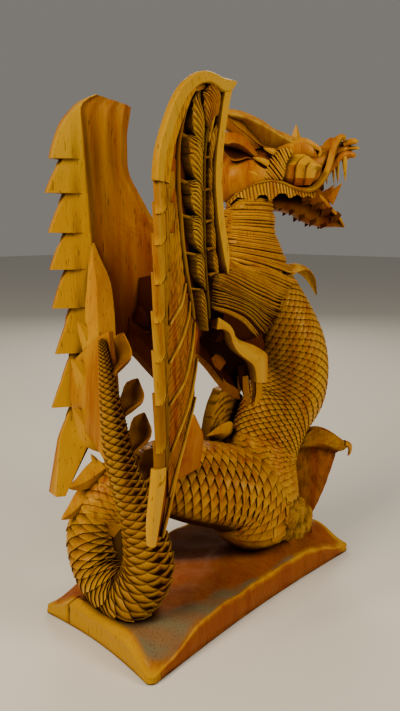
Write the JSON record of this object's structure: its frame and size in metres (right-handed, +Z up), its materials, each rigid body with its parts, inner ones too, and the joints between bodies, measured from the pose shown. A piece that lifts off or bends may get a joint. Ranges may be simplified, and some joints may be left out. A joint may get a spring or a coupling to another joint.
{
  "type": "dragon statue",
  "caption": "Carved wooden dragon sitting up on a coiled, scaled body with raised feathered wings and a looped tail, on a pointed base of the same block; stands by its own weight.",
  "frame": {"origin": "middle of the flat underside of the base", "axes": "+Z up; +X along the base, the way the dragon's chest faces; +Y to the dragon's left"},
  "size_m": [0.2524, 0.1241, 0.3924],
  "materials": {
    "varnished_hardwood": "hand carved, stained and varnished, satin to glossy"
  },
  "bodies": {
    "root": {"dragon_carving": "varnished_hardwood"}
  },
  "joints": []
}
